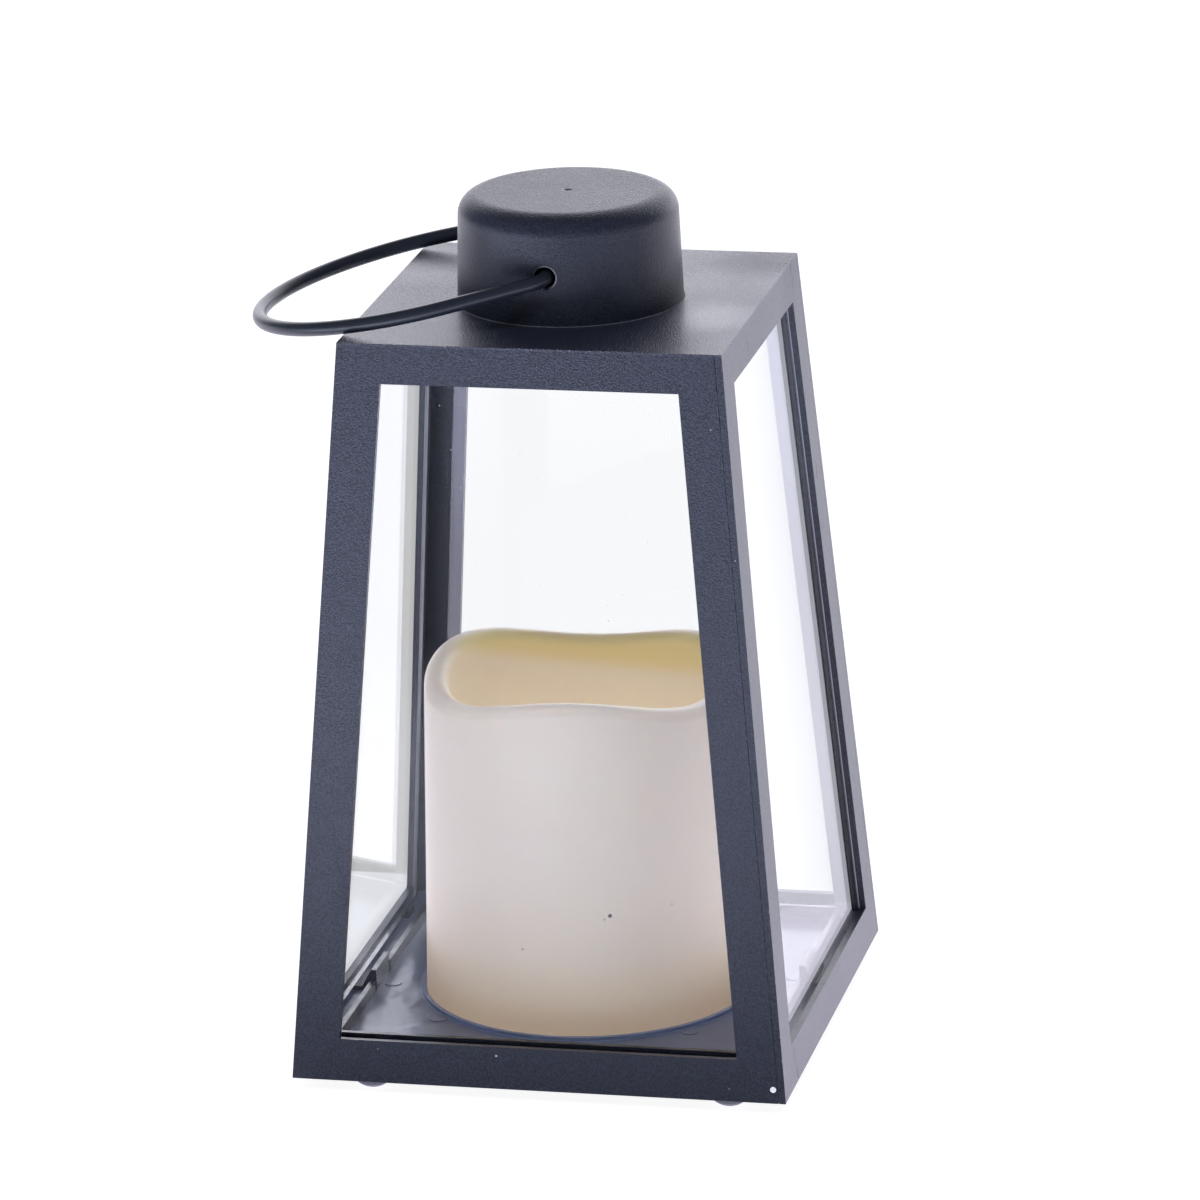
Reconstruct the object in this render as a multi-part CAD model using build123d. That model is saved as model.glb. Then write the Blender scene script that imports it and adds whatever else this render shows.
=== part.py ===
from build123d import *
import os
from math import asin, atan, atan2, cos, degrees, hypot, radians, sin

# Tapered candle lantern with a flameless candle. Millimetres, +Z up, front towards -Y.
# Heights are measured from the bottom edges of the side panels; the finished pieces are lifted by the feet.

# Body
base_width = 140.0
top_width = 106.8
body_height = 208.5
wall = 2.0
post_width = 12.8
bottom_rail = 12.1
top_rail = 11.1
edge_round = 0.4
seam_gap = 0.05

# Glass panes
pane_thickness = 2.0
pane_overlap = 3.4
pane_clearance = 0.1
pane_hold_clearance = 0.25

# Shelves inside each panel, under the pane
shelf_width = 6.0
shelf_inset = 24.0
shelf_lip = 1.0
shelf_lip_height = 1.3
catch_width = 14.0
catch_offset = 10.0

# Top plate
plate_thickness = 2.0
arris_land = 0.3
rebate_lip = 1.6
rebate_cover = 0.8
rebate_clearance = 0.15

# Cap
cap_radius = 31.4
cap_top_radius = 30.35
cap_height = 30.6
cap_wall = 2.0
cap_round = 6.0
gate_radius = 1.35
gate_depth = 0.35
cap_boss_radius = 3.2
cap_boss_circle = 24.0

# Bail
wire_diameter = 4.0
bail_hole_diameter = 5.8
bail_hole_break = 0.4
bail_pivot_height = 13.7
bail_loop_radius = 47.5
bail_loop_centre = 42.0
bail_corner = 35.0
bail_bend_radius = 5.0
bail_inside = 6.0
bail_rest_gap = 0.3

# Screws
screw_radius = 1.3
screw_length = 11.0
screw_head_radius = 2.6
screw_head_height = 1.7
screw_bite = 0.05
screw_clearance = 0.3
screw_tip_room = 2.0

# Base tray
floor_top = 7.0
floor_thickness = 2.0
tray_clearance = 0.4
skirt_wall = 2.0
upstand_inset = 10.0
upstand_wall = 1.5
upstand_height = 3.8
upstand_round = 3.0
rib_thickness = 1.6
stiffener_gap = 2.9
stiffener_height = 3.0
shelf_gap = 0.1
arm_width = 15.0
arm_height = 6.5
arm_slot = 1.2
barb_reach = 2.8
barb_height = 2.6
seat_ring_gap = 0.4
seat_ring_width = 1.2
seat_ring_height = 1.0
ejector_radius = 2.5
ejector_height = 0.2
ejector_gap = 0.4

# Feet
foot_radius = 4.8
foot_flat_radius = 1.5
foot_height = 3.6
foot_crown = 1.75
foot_inset_x = 19.3
foot_inset_y = 7.7
foot_shift = 2.1
foot_pad_radius = 5.1

# Candle
candle_foot_radius = 46.7
candle_top_radius = 44.4
candle_height = 93.6
candle_shell_wall = 2.2
lip_width = 6.8
lip_depth = 12.0
lip_round = 3.1
cup_depth = 43.0
cup_floor_radius = 36.0
cup_round = 6.0
rim_tilt = 0.5
rim_tilt_angle = 193.0
rim_wave = 3.8
rim_crest_angle = 37.6
rim_waves = 3
rim_margin = 9.0
rim_grid_steps = 8
candle_boss_radius = 3.2
candle_boss_inset = 3.0
candle_boss_height = 14.0

# Cells and their well
cell_radius = 5.25
cell_length = 44.5
cell_round = 0.5
cell_nub_radius = 1.9
cell_nub_length = 0.9
cell_pitch = 11.6
cell_room = 0.4
well_wall = 1.6
contact_thickness = 0.4
contact_width = 6.5
contact_height = 9.0
contact_touch = 0.1
leaf_reach = 3.9
leaf_width = 4.4
leaf_height = 7.2
tail_width = 2.0
tail_room = 0.2

# Battery door
door_thickness = 1.6
door_lift = 0.4
door_gap = 0.3
door_ledge = 1.0
door_pin_radius = 0.7
door_pin_length = 1.2
door_pin_clearance = 0.08
thumb_width = 12.0

# Board, lamp and switch
board_thickness = 1.6
board_rise = 1.6
board_margin = 4.0
board_edge = 5.0
stake_radius = 2.0
stake_pin_radius = 1.1
stake_pin_clearance = 0.1
stake_inset = 4.5
lamp_radius = 2.5
lamp_flange = 0.4
lamp_flange_height = 1.0
lamp_height = 8.4
resistor_radius = 1.1
resistor_length = 6.0
resistor_lead = 0.6
resistor_offset = 9.0
switch_gap = 4.0
switch_length = 12.0
switch_width = 5.0
switch_height = 5.0
slider_length = 3.0
slider_width = 2.4
slider_travel = 4.0
slider_play = 0.3
slider_entry = 1.6
knob_length = 7.0
knob_width = 6.0
knob_height = 2.2
knob_grooves = 3
knob_groove_width = 0.6

# Sizes that follow from the ones above
taper = (base_width - top_width) / 2 / body_height
lean = atan(taper)
wall_across = wall / cos(lean)
pane_outer_inset = wall_across + pane_clearance / cos(lean)
pane_inner_inset = pane_outer_inset + pane_thickness / cos(lean)
window_low = bottom_rail
window_high = body_height - top_rail
pane_low = window_low - pane_overlap
pane_high = window_high + pane_overlap
pane_depth = wall + pane_clearance + pane_thickness
pane_foot = pane_low - pane_depth * sin(lean)
shelf_top = pane_foot - pane_clearance
floor_under = floor_top - floor_thickness
shelf_spread = base_width - 2 * shelf_inset
upstand_width = base_width - 2 * upstand_inset
candle_boss_circle = candle_foot_radius - candle_shell_wall - candle_boss_inset
stiffener_spread = 2 * (candle_boss_circle + screw_head_radius + stiffener_gap)
foot_spread_x = base_width - 2 * foot_inset_x
foot_spread_y = base_width - 2 * foot_inset_y
upstand_top = floor_top + upstand_height
plate_under = body_height - plate_thickness
pivot_z = body_height + bail_pivot_height
wire_radius = wire_diameter / 2
cell_z = door_lift + door_thickness + cell_room + cell_radius
well_ceiling = cell_z + cell_radius + cell_room
well_top = well_ceiling + well_wall
well_length = cell_length + contact_thickness + leaf_reach + 2 * contact_touch
well_width = 3 * cell_pitch
board_low = well_top + board_rise
board_high = board_low + board_thickness
switch_y = well_width / 2 + well_wall + switch_gap + switch_width / 2
sides = ["front", "right", "back", "left"]
upright = (Align.CENTER, Align.CENTER, Align.MIN)


def half_width(z):
    """Half the outer width of the tapered body at a height."""
    return base_width / 2 - taper * z


def cap_radius_at(height):
    """Outer radius of the cap at a height above the plate."""
    return cap_radius + (cap_top_radius - cap_radius) * height / cap_height


def level_box(x0, x1, y0, y1, z0, z1):
    """Box from its limits along the three axes."""
    size = Box(x1 - x0, y1 - y0, z1 - z0)
    return Pos((x0 + x1) / 2, (y0 + y1) / 2, (z0 + z1) / 2) * size


def level_rectangle(x0, x1, y0, y1, z):
    """Level rectangle at a height, as a section for a loft."""
    return Pos((x0 + x1) / 2, (y0 + y1) / 2, z) * Rectangle(x1 - x0, y1 - y0)


def tapered_block(low, high, inset):
    """Square block between two heights, parallel to the body's sides and set in from them."""
    sections = []
    for z in (low, high):
        width = 2 * (half_width(z) - inset)
        sections.append(Pos(0, 0, z) * Rectangle(width, width))
    return loft(sections, ruled=True)


def post(x, y, low, high, radius):
    """Upright round post or hole."""
    return Pos(x, y, low) * Cylinder(radius, high - low, align=upright)


def around(piece):
    """The front piece turned to all four sides, in the order of the list of sides."""
    return [Rot(0, 0, 90 * turn) * piece for turn in range(len(sides))]


def face_trapezoid(low, high, post_inset):
    """Four-cornered outline on the front face, with sides parallel to the body's corners."""
    rise = cos(lean)
    corners = []
    for z, side in ((low, -1), (low, 1), (high, 1), (high, -1)):
        corners.append((side * (half_width(z) - post_inset), z / rise))
    return make_face(Polyline(*corners, close=True))


# Plane of the front panel's outer face, with its origin at the middle of the bottom edge
front_face = Plane((0, -base_width / 2, 0), x_dir=(1, 0, 0), z_dir=(0, -cos(lean), sin(lean)))


def mitred_plate():
    """Square plate whose edges are cut at 45 degrees to meet the panels."""
    top = top_width - 2 * arris_land
    sections = [Pos(0, 0, body_height) * Rectangle(top, top)]
    under = top - 2 * plate_thickness
    sections.append(Pos(0, 0, plate_under) * Rectangle(under, under))
    return loft(sections, ruled=True)


def side_panel():
    """Front panel: a tapered frame with its window, two lipped shelves for the pane and a catch."""
    sections = []
    for z in (0, body_height):
        half = half_width(z)
        butt = half - wall_across - seam_gap
        sections.append(level_rectangle(-half, butt, -half, -half + wall_across, z))
    panel = loft(sections, ruled=True)
    window = front_face * face_trapezoid(window_low, window_high, post_width)
    panel -= extrude(window, 2 * wall, both=True)
    panel -= mitred_plate()
    outer = panel.faces().sort_by(Axis.Y)[0]
    rounded = [edge for edge in outer.edges() if edge.center().Z < body_height - edge_round]
    panel = fillet(rounded, edge_round)
    shelf_low = floor_top + shelf_gap
    root = wall_across / 2 - half_width(shelf_top)
    lip_high = pane_foot + shelf_lip_height
    behind_pane = pane_inner_inset + pane_hold_clearance - half_width(lip_high)
    tip = behind_pane + shelf_lip
    half = shelf_width / 2
    for x in (-shelf_spread / 2, shelf_spread / 2):
        panel += level_box(x - half, x + half, root, tip, shelf_low, shelf_top)
        panel += level_box(x - half, x + half, behind_pane, tip, shelf_low, lip_high)
    catch_tip = catch_depth() - half_width(shelf_top)
    half = catch_width / 2
    panel += level_box(catch_offset - half, catch_offset + half, root, catch_tip, shelf_low, shelf_top)
    return panel


def catch_depth():
    """Reach of the shelf that the snap arm's barb catches, from the outer face inwards."""
    return half_width(shelf_top) - upstand_width / 2 - barb_reach / 2


def glass_pane():
    """Front pane, lying inside the panel and lapping over the window's edges."""
    plane = front_face.offset(-wall - pane_clearance)
    outline = face_trapezoid(pane_low, pane_high, post_width - pane_overlap)
    return extrude(plane * outline, -pane_thickness)


def ring_positions(radius, first):
    """Three places on a circle, as x and y."""
    turns = [radians(first + 120 * turn) for turn in range(3)]
    return [(radius * cos(turn), radius * sin(turn)) for turn in turns]


cap_screw_places = ring_positions(cap_boss_circle, 0)
candle_screw_places = ring_positions(candle_boss_circle, 90)


def top_plate():
    """Mitred plate with the rebated frame that traps the upper edges of the panes."""
    plate = mitred_plate()
    frame = tapered_block(pane_high + rebate_clearance, plate_under, wall_across + rebate_clearance)
    lip_low = window_high + rebate_cover
    lip_inset = pane_inner_inset + rebate_clearance
    frame += tapered_block(lip_low, plate_under, lip_inset)
    frame -= tapered_block(lip_low, plate_under, lip_inset + rebate_lip)
    plate += frame
    for x, y in cap_screw_places:
        plate -= post(x, y, plate_under, body_height, screw_radius + screw_clearance)
    return plate


def screw(x, y, seat):
    """Pan-head screw driven upwards, with its head under a seat height."""
    shank = post(x, y, seat, seat + screw_length, screw_radius)
    head = post(x, y, seat - screw_head_height, seat, screw_head_radius)
    lower_rim = head.edges().group_by(Axis.Z)[0]
    return fillet(lower_rim, screw_head_height / 2) + shank


def screw_group(places, seat):
    """Separate identical screws."""
    return Compound(children=[screw(x, y, seat).solid() for x, y in places])


def cap_body(shrink, height):
    """Drafted round body with a rounded top edge."""
    low, high = cap_radius - shrink, cap_top_radius - shrink
    body = Cone(low, high, height, align=upright)
    return fillet(body.edges().group_by(Axis.Z)[-1], cap_round - shrink)


def cap():
    """Hollow cap with screw bosses, two bail holes and a gate dimple on top."""
    shell = cap_body(0, cap_height) - cap_body(cap_wall, cap_height - cap_wall)
    for x, y in cap_screw_places:
        shell += post(x, y, 0, cap_height - cap_wall, cap_boss_radius)
        bore = screw_length - plate_thickness + screw_tip_room
        shell -= post(x, y, 0, bore, screw_radius + screw_bite)
    hole = Cylinder(bail_hole_diameter / 2, 4 * cap_radius, rotation=(90, 0, 0))
    shell -= Pos(0, 0, bail_pivot_height) * hole
    skin = cap_radius_at(bail_pivot_height)
    broken = Cone(bail_hole_diameter / 2, bail_hole_diameter / 2 + 2 * bail_hole_break, 2 * bail_hole_break)
    for side in (-1, 1):
        shell -= Pos(0, side * skin, bail_pivot_height) * (Rot(-90 * side, 0, 0) * broken)
    gate_ball = (gate_radius**2 + gate_depth**2) / (2 * gate_depth)
    shell -= Pos(0, 0, cap_height - gate_depth + gate_ball) * Sphere(gate_ball)
    return Pos(0, 0, body_height) * shell


def bail_droop():
    """Angle below level at which the wire lies on the top edge of the body, in degrees."""
    edge = top_width / 2
    reach = hypot(edge, bail_pivot_height)
    return degrees(atan2(bail_pivot_height, edge) - asin((wire_radius + bail_rest_gap) / reach))


def bail_handle():
    """Bent wire: two stubs in the cap, two legs tangent to a round loop."""
    to_centre = hypot(bail_loop_centre, bail_corner)
    leg = (to_centre**2 - bail_loop_radius**2) ** 0.5
    heading = atan2(bail_corner, bail_loop_centre) - asin(bail_loop_radius / to_centre)
    stub_end = cap_radius_at(bail_pivot_height) - cap_wall - bail_inside
    near = [(0, -stub_end), (0, -bail_corner)]
    tangent = (leg * cos(heading), leg * sin(heading) - bail_corner)
    tip = (bail_loop_centre + bail_loop_radius, 0)
    front_leg = FilletPolyline(*near, tangent, radius=bail_bend_radius)
    back_leg = mirror(front_leg, about=Plane.XZ)
    loop = ThreePointArc(tangent, tip, (tangent[0], -tangent[1]))
    path = Wire(front_leg.edges() + loop.edges() + back_leg.edges())
    section = Plane((0, -stub_end, 0), z_dir=(0, -1, 0)) * Circle(wire_radius)
    wire = sweep(section, path=path)
    laid = Rot(0, -bail_droop(), 180) * wire
    return Pos(0, 0, pivot_z) * laid


def square_ring(width, thickness, corner, low, high):
    """Upright square wall with rounded corners."""
    inner = width - 2 * thickness
    outline = RectangleRounded(width, width, corner)
    outline -= RectangleRounded(inner, inner, corner - thickness)
    return extrude(Pos(0, 0, low) * outline, high - low)


def snap_arm():
    """Front snap arm: a tongue in the upstand wall whose barb hooks over the panel's shelf."""
    outer = -upstand_width / 2
    hook = shelf_top + shelf_gap
    arm_top = floor_top + arm_height
    profile = make_face(
        Polyline(
            (outer, floor_under),
            (outer, hook),
            (outer - barb_reach, hook),
            (outer - barb_reach / 2, hook + barb_height),
            (outer, arm_top),
            (outer + upstand_wall, arm_top),
            (outer + upstand_wall, floor_under),
            close=True,
        )
    )
    arm = extrude(Plane.YZ * profile, arm_width / 2, both=True)
    return Pos(catch_offset, 0, 0) * arm


def battery_well():
    """Raised housing over the cells and the frame that the battery door closes."""
    length, width = well_length + 2 * well_wall, well_width + 2 * well_wall
    well = Pos(0, 0, floor_under) * Box(length, width, well_top - floor_under, align=upright)
    length, width = door_size()
    frame = Box(length + 2 * well_wall, width + 2 * well_wall, floor_under - door_lift, align=upright)
    well += Pos(0, 0, door_lift) * frame
    return well


def door_size():
    """Length and width of the battery door."""
    return well_length + 2 * door_ledge, well_width + 2 * door_ledge


def well_spaces():
    """What is cut from the well: the room for the cells, the door's recess, pin holes and tail slots."""
    room = Box(well_length, well_width, well_ceiling - door_lift, align=upright)
    space = Pos(0, 0, door_lift) * room
    length, width = door_size()
    recess = Box(length + 2 * door_gap, width + 2 * door_gap, door_thickness, align=upright)
    space += Pos(0, 0, door_lift) * recess
    pin_hole = Cylinder(door_pin_radius + door_pin_clearance, width + 4 * well_wall, rotation=(90, 0, 0))
    space += Pos(door_axis_x(), 0, door_axis_z()) * pin_hole
    door_top = door_lift + door_thickness
    side = width / 2 + door_gap
    barrel_end = door_axis_x() + door_thickness / 2
    space += level_box(-length / 2 - door_gap, barrel_end, -side, side, door_lift, door_top + door_gap)
    thumb_reach = length / 2 + 2 * well_wall
    space += level_box(0, thumb_reach, -thumb_width / 2, thumb_width / 2, door_lift, door_top)
    for x, y in tail_places():
        slot = Box(contact_thickness + 2 * tail_room, tail_width + 2 * tail_room, 2 * well_wall)
        space += Pos(x, y, well_ceiling + well_wall / 2) * slot
    return space


def door_axis_x():
    """Hinge line of the battery door, at the middle of its rounded left end."""
    return -door_size()[0] / 2 + door_thickness / 2


def door_axis_z():
    """Height of the battery door's hinge line."""
    return door_lift + door_thickness / 2


def tail_places():
    """Where the two end contacts rise through the well's ceiling."""
    x = (well_length - contact_thickness) / 2
    return [(x, -cell_pitch), (-x, cell_pitch)]


def stake_places():
    """Posts that carry the board."""
    x = well_length / 2 - stake_inset
    y = well_width / 2 - stake_inset
    return [(-x, -y), (x, -y), (x, y), (-x, y)]


def ejector_places():
    """Round marks of the mould's ejector pins: four outside the seat ring, one beside each snap arm."""
    circle = candle_foot_radius + seat_ring_gap + seat_ring_width + ejector_gap + ejector_radius
    corners = [radians(45 + 90 * turn) for turn in range(4)]
    places = [(circle * cos(corner), circle * sin(corner)) for corner in corners]
    beside = upstand_width / 2 - upstand_wall - ejector_gap - ejector_radius
    return places + [(-beside, -catch_offset), (beside, catch_offset)]


def foot_places():
    """Centres of the four feet, which stand a little to the right of the body's axis."""
    x = foot_spread_x / 2
    y = foot_spread_y / 2
    return [(side * x + foot_shift, end * y) for side in (-1, 1) for end in (-1, 1)]


def base_tray():
    """Moulded tray: floor, skirt, upstand wall, snap arms, seat ring, battery well and foot pads."""
    inset = wall_across + tray_clearance
    tray = tapered_block(0, floor_top, inset)
    tray -= tapered_block(0, floor_under, inset + skirt_wall)
    for line in (-stiffener_spread / 2, stiffener_spread / 2):
        reach = half_width(floor_under) - inset
        bottom = floor_under - stiffener_height
        for turn in (0, 90):
            rib = level_box(
                line - rib_thickness / 2, line + rib_thickness / 2, -reach, reach, bottom, floor_under
            )
            tray += Rot(0, 0, turn) * rib
    for x, y in foot_places():
        tray += post(x, y, 0, floor_under, foot_pad_radius)
    upstand = square_ring(upstand_width, upstand_wall, upstand_round, floor_top, upstand_top)
    slot_width = arm_width + 2 * arm_slot
    slot = level_box(
        catch_offset - slot_width / 2,
        catch_offset + slot_width / 2,
        -upstand_width / 2,
        upstand_wall - upstand_width / 2,
        floor_top,
        upstand_top,
    )
    arm_turns = (90, 270)
    for turn in arm_turns:
        upstand -= Rot(0, 0, turn) * slot
    tray += upstand
    for turn in arm_turns:
        tray += Rot(0, 0, turn) * snap_arm()
    for x, y in ejector_places():
        tray += post(x, y, floor_top, floor_top + ejector_height, ejector_radius)
    ring_inner = candle_foot_radius + seat_ring_gap
    ring = post(0, 0, floor_top, floor_top + seat_ring_height, ring_inner + seat_ring_width)
    ring -= post(0, 0, floor_top, floor_top + seat_ring_height, ring_inner)
    tray += ring
    tray += battery_well()
    tray -= well_spaces()
    for x, y in stake_places():
        tray += post(x, y, well_top, board_low, stake_radius)
        tray += post(x, y, board_low, board_high, stake_pin_radius)
    for x, y in candle_screw_places:
        tray -= post(x, y, floor_under, floor_top, screw_radius + screw_clearance)
    slider_room = slider_length + slider_travel + 2 * slider_play
    tray -= Pos(0, switch_y, floor_top - floor_thickness / 2) * Box(
        slider_room, slider_width + 2 * slider_play, 2 * floor_thickness
    )
    return tray


def bumper_feet():
    """Four separate soft feet: short cylinders with a domed end and a small flat to stand on."""
    rise = (foot_radius**2 + foot_crown**2 - foot_flat_radius**2) / (2 * foot_crown)
    dome_radius = hypot(foot_flat_radius, rise)
    slant = (asin(foot_radius / dome_radius) + asin(foot_flat_radius / dome_radius)) / 2
    middle = (dome_radius * sin(slant), rise - foot_height - dome_radius * cos(slant))
    shoulder = (foot_radius, foot_crown - foot_height)
    toe = (foot_flat_radius, -foot_height)
    sides = [
        Line((0, -foot_height), (0, 0)),
        Line((0, 0), (foot_radius, 0)),
        Line((foot_radius, 0), shoulder),
        ThreePointArc(shoulder, middle, toe),
        Line(toe, (0, -foot_height)),
    ]
    foot = revolve(Plane.XZ * make_face(sides), Axis.Z).solid()
    return Compound(children=[Pos(x, y, 0) * foot for x, y in foot_places()])


def rim_height(x, y):
    """Height of the candle's wavy rim surface above its foot."""
    r = hypot(x, y) / candle_top_radius
    angle = atan2(y, x)
    tilt = rim_tilt * r * cos(angle - radians(rim_tilt_angle))
    wave = rim_wave * r**rim_waves * cos(rim_waves * (angle - radians(rim_crest_angle)))
    return candle_height + tilt + wave


def rim_cutter():
    """Block above the wavy surface that trims the candle's top."""
    reach = candle_foot_radius + rim_margin
    places = [reach * (2 * step / rim_grid_steps - 1) for step in range(rim_grid_steps + 1)]
    grid = [[Vector(x, y, rim_height(x, y)) for x in places] for y in places]
    surface = Face.make_surface_from_array_of_points(grid, tol=0.01, min_deg=3, max_deg=6)
    return extrude(surface, candle_height, dir=(0, 0, 1))


def candle_shell():
    """Hollow candle with a deep cup, a rolled wavy rim and screw bosses at its foot."""
    draft = (candle_foot_radius - candle_top_radius) / candle_height
    blank = candle_height + rim_tilt + 2 * rim_wave
    lip_low = candle_height - lip_depth
    cup_top = candle_top_radius - lip_width
    cup_floor = candle_height - cup_depth
    cup_draft = (cup_top - cup_floor_radius) / cup_depth
    body = Cone(candle_foot_radius, candle_foot_radius - draft * blank, blank, align=upright)
    hollow_foot = candle_foot_radius - candle_shell_wall
    hollow = Cone(hollow_foot, hollow_foot - draft * lip_low, lip_low, align=upright)
    cup_reach = blank - cup_floor
    cup = Cone(cup_floor_radius, cup_floor_radius + cup_draft * cup_reach, cup_reach, align=upright)
    cup = fillet(cup.edges().group_by(Axis.Z)[0], cup_round)
    skin_foot = cup_floor_radius + candle_shell_wall
    skin_reach = lip_low - cup_floor + candle_shell_wall
    skin = Cone(skin_foot, skin_foot + cup_draft * skin_reach, skin_reach, align=upright)
    skin = fillet(skin.edges().group_by(Axis.Z)[0], cup_round + candle_shell_wall)
    hollow -= Pos(0, 0, cup_floor - candle_shell_wall) * skin
    shell = body - hollow - Pos(0, 0, cup_floor) * cup
    shell -= rim_cutter()
    rim = shell.faces().sort_by(Axis.Z)[-1]
    shell = fillet(rim.edges(), lip_round)
    for x, y in candle_screw_places:
        shell += post(x, y, 0, candle_boss_height, candle_boss_radius)
        bore = screw_length - floor_thickness + screw_tip_room
        shell -= post(x, y, 0, bore, screw_radius + screw_bite)
    return Pos(0, 0, floor_top) * shell


def cell():
    """One cell lying along X with its nub to the right."""
    body_length = cell_length - cell_nub_length
    body = Cylinder(cell_radius, body_length, align=upright)
    body = fillet(body.edges().filter_by(GeomType.CIRCLE), cell_round)
    nub = post(0, 0, body_length, cell_length, cell_nub_radius)
    return Pos(-cell_length / 2, 0, 0) * (Rot(0, 90, 0) * (body + nub))


def placed_cell(row):
    """Cell in one of three rows, turned end for end in the middle row."""
    shift = (leaf_reach - contact_thickness) / 2
    turned = row == 0
    piece = Rot(0, 0, 180) * cell() if turned else cell()
    return Pos(-shift if turned else shift, row * cell_pitch, cell_z) * piece


def contact(end, rows):
    """Contact strip against one end wall of the well; a leaf where a cell's flat end comes."""
    face_x = well_length / 2
    low = cell_z - contact_height / 2
    high = cell_z + contact_height / 2
    first, last = min(rows) * cell_pitch, max(rows) * cell_pitch
    half = contact_width / 2
    strip = level_box(face_x - contact_thickness, face_x, first - half, last + half, low, high)
    for row in rows:
        nub_end = end if row != 0 else -end
        if nub_end < 0:
            strip += Pos(0, row * cell_pitch, 0) * contact_leaf(face_x)
    if len(rows) == 1:
        y = rows[0] * cell_pitch
        tail = level_box(
            face_x - contact_thickness, face_x, y - tail_width / 2, y + tail_width / 2, high, board_high
        )
        strip += tail
    return strip if end > 0 else mirror(strip, about=Plane.YZ)


def contact_leaf(face_x):
    """Bowed leaf spring on the right-hand wall, pressing on a flat cell end."""
    root = face_x - contact_thickness / 2
    crown = face_x - leaf_reach + contact_thickness / 2
    half = leaf_height / 2
    bow = ThreePointArc((root, cell_z - half), (crown, cell_z), (root, cell_z + half))
    band = Plane.XZ * trace(bow, contact_thickness)
    leaf = extrude(band, leaf_width / 2, both=True)
    return leaf & level_box(0, face_x, -contact_width, contact_width, 0, well_ceiling)


def battery_door():
    """Door with a rounded hinge end, two stub pins and gripping grooves."""
    length, width = door_size()
    axis_x, axis_z = door_axis_x(), door_axis_z()
    plate = level_box(axis_x, length / 2, -width / 2, width / 2, door_lift, door_lift + door_thickness)
    barrel = Cylinder(door_thickness / 2, width, rotation=(90, 0, 0))
    pins = Cylinder(door_pin_radius, width + 2 * door_pin_length, rotation=(90, 0, 0))
    door = plate + Pos(axis_x, 0, axis_z) * (barrel + pins)
    for step in range(knob_grooves):
        x = length / 2 - (2 + 2 * step) * door_thickness
        door -= Pos(x, 0, door_lift) * Box(knob_groove_width, thumb_width, knob_groove_width)
    return door


def board_limits():
    """Plan limits of the circuit board: left, right, front, back."""
    half = well_length / 2 + board_margin
    front = -well_width / 2
    back = switch_y + switch_width / 2 + board_edge / 2
    return -half, half, front, back


def led_board():
    """Circuit board on four staked posts."""
    left, right, front, back = board_limits()
    board = level_box(left, right, front, back, board_low, board_high)
    board = fillet(board.edges().filter_by(Axis.Z), board_edge / 2)
    for x, y in stake_places():
        board -= post(x, y, board_low, board_high, stake_pin_radius + stake_pin_clearance)
    for x, y in tail_places():
        board -= Pos(x, y, board_low) * Box(
            contact_thickness + 2 * tail_room, tail_width + 2 * tail_room, 4 * board_thickness
        )
    return board


def led_lamp():
    """Round lamp with a flange and a domed tip, standing on the board."""
    straight = lamp_height - lamp_radius
    lamp = post(0, 0, board_high, board_high + lamp_flange_height, lamp_radius + lamp_flange)
    lamp += post(0, 0, board_high, board_high + straight, lamp_radius)
    dome = Pos(0, 0, board_high + straight) * Sphere(lamp_radius)
    return lamp + dome


def resistor():
    """Small resistor lying on the board with both leads bent down to it."""
    x, y = resistor_offset, 0
    z = board_high + resistor_radius
    half = resistor_length / 2
    body = Cylinder(resistor_radius, resistor_length)
    body = fillet(body.edges().filter_by(GeomType.CIRCLE), resistor_radius / 2)
    lead_half = half + 2 * resistor_lead
    leads = level_box(
        x - resistor_lead / 2, x + resistor_lead / 2, y - lead_half, y + lead_half, z - resistor_lead / 2,
        z + resistor_lead / 2,
    )
    piece = Pos(x, y, z) * (Rot(90, 0, 0) * body) + leads
    for side in (-1, 1):
        foot = y + side * (lead_half - resistor_lead / 2)
        piece += level_box(
            x - resistor_lead / 2, x + resistor_lead / 2, foot - resistor_lead / 2, foot + resistor_lead / 2,
            board_high, z,
        )
    return piece


def switch_body():
    """Slide switch under the board, with the slot that its slider runs in."""
    low = board_low - switch_height
    body = level_box(
        -switch_length / 2, switch_length / 2, switch_y - switch_width / 2, switch_y + switch_width / 2,
        low, board_low,
    )
    room = slider_length + slider_travel + 2 * slider_play
    slot = Box(room, slider_width + 2 * slider_play, slider_entry + slider_play, align=upright)
    return body - Pos(0, switch_y, low) * slot


def switch_slider():
    """Slider in its off position: a shank up into the switch and a grooved knob under the floor."""
    x = -slider_travel / 2
    high = board_low - switch_height + slider_entry
    knob_high = floor_under - slider_play
    knob_low = knob_high - knob_height
    slider = level_box(
        x - slider_length / 2, x + slider_length / 2, switch_y - slider_width / 2,
        switch_y + slider_width / 2, knob_low, high,
    )
    knob = level_box(
        x - knob_length / 2, x + knob_length / 2, switch_y - knob_width / 2, switch_y + knob_width / 2,
        knob_low, knob_high,
    )
    pitch = knob_length / (knob_grooves + 1)
    for step in range(knob_grooves):
        groove_x = x + pitch * (step - (knob_grooves - 1) / 2)
        knob -= Pos(groove_x, switch_y, knob_low) * Box(knob_groove_width, 2 * knob_width, knob_groove_width)
    return slider + knob


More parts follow.
